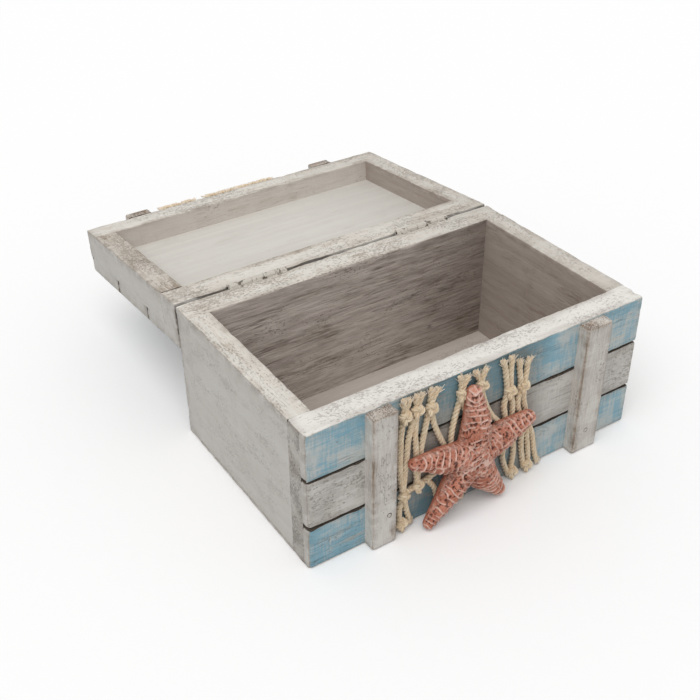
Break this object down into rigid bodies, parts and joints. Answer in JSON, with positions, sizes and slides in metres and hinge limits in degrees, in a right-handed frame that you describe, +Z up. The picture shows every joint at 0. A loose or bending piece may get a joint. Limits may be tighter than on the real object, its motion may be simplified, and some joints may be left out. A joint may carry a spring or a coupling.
{
  "type": "keepsake box",
  "caption": "Small whitewashed wooden keepsake box with a hinged lid lying open, planked front with battens, a knotted cord net and a starfish.",
  "frame": {"origin": "middle of the body's underside, on the surface that the box stands on", "axes": "+X right along the planked front, +Y from the front towards the hinged back, +Z up"},
  "size_m": [0.14, 0.1862, 0.0563],
  "materials": {
    "white_wood": "whitewashed, worn at the edges",
    "grey_wood": "thin grey-white wash over the grain",
    "blue_wood": "worn matt blue paint",
    "net_cord": "twisted natural cord",
    "starfish": "matt cast resin, pale ridges",
    "painted_hinge": "painted over with the box",
    "bare_steel": "dull"
  },
  "bodies": {
    "box": {"bottom_panel": "grey_wood", "left_wall": "grey_wood", "right_wall": "grey_wood", "back_wall": "grey_wood", "front_board": "white_wood", "front_plank_bottom": "blue_wood", "front_plank_middle": "white_wood", "front_plank_top": "blue_wood", "front_batten_left": "white_wood", "front_batten_right": "white_wood", "batten_nails": "bare_steel", "front_net": "net_cord", "starfish": "starfish", "hinge_body_leaf_left": "painted_hinge", "hinge_body_leaf_right": "painted_hinge", "hinge_pin_left": "bare_steel", "hinge_pin_right": "bare_steel", "hinge_nails_body": "bare_steel"},
    "lid": {"hinge_lid_leaf_left": "painted_hinge", "hinge_lid_leaf_right": "painted_hinge", "hinge_nails_lid": "bare_steel", "lid_left_rail": "white_wood", "lid_right_rail": "white_wood", "lid_back_rail": "white_wood", "lid_front_rail": "white_wood", "lid_inner_panel": "white_wood", "lid_front_plank": "white_wood", "lid_plank_back": "blue_wood", "lid_plank_middle": "white_wood", "lid_plank_front": "blue_wood", "lid_batten_left": "white_wood", "lid_batten_right": "white_wood", "lid_front_batten_left": "white_wood", "lid_front_batten_right": "white_wood", "lid_net": "net_cord"}
  },
  "joints": [
    {"name": "lid_hinge", "type": "hinge", "parent": "box", "child": "lid", "pos_m": [0, 0.04395, 0.05515], "axis": [1, 0, 0], "range_deg": [0, 185]}
  ]
}
